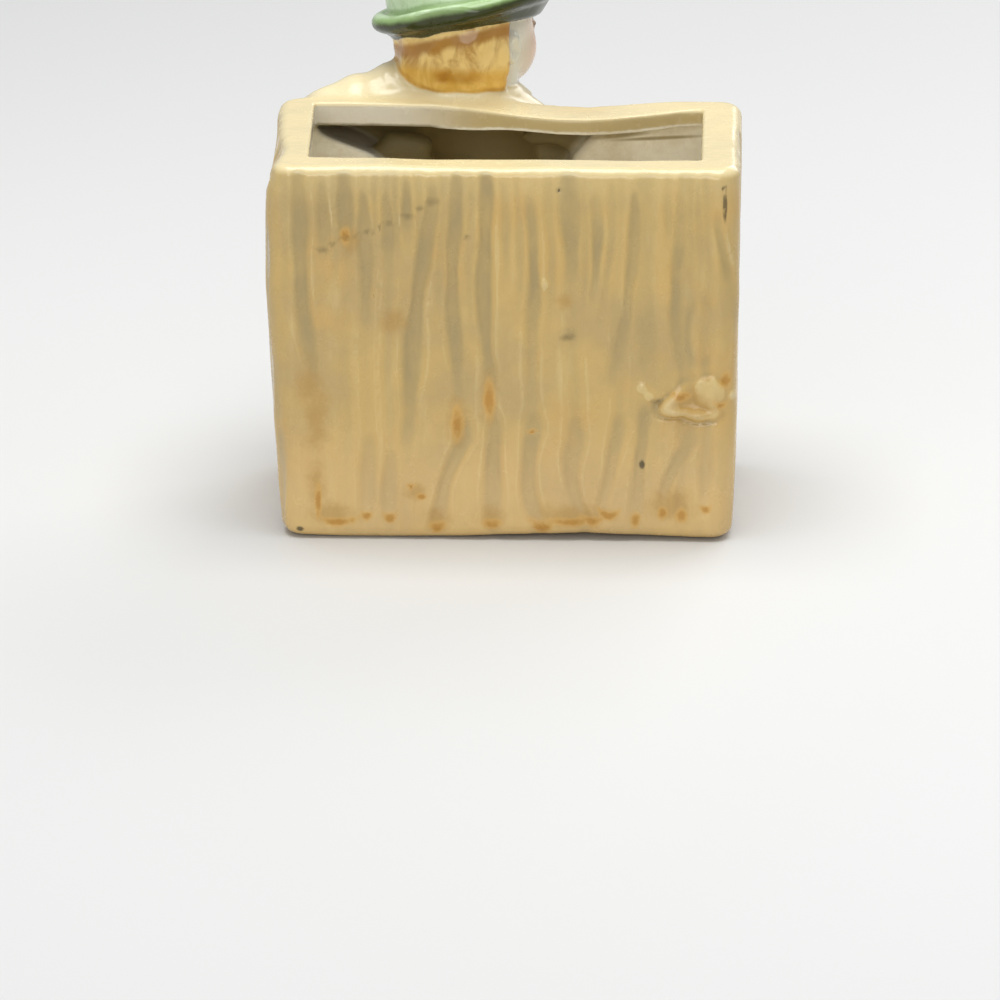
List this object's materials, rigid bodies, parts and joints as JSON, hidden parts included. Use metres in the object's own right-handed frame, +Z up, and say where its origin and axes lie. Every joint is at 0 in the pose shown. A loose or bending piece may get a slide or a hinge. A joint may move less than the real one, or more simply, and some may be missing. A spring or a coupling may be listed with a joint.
{
  "type": "ceramic figural planter",
  "caption": "Open rectangular planter with walls gouged like bark, cast in one piece with a figure in a rolled-brim hat who leans an elbow on its front corner.",
  "frame": {"origin": "middle of the underside, which is the middle of the footprint's bounding box", "axes": "+Z up, -Y the way the figure's side of the box faces, +X to the right as that side is seen"},
  "size_m": [0.133, 0.1216, 0.1572],
  "materials": {
    "glaze": "glossy, hand-coloured"
  },
  "bodies": {
    "root": {"planter": "glaze"}
  },
  "joints": []
}
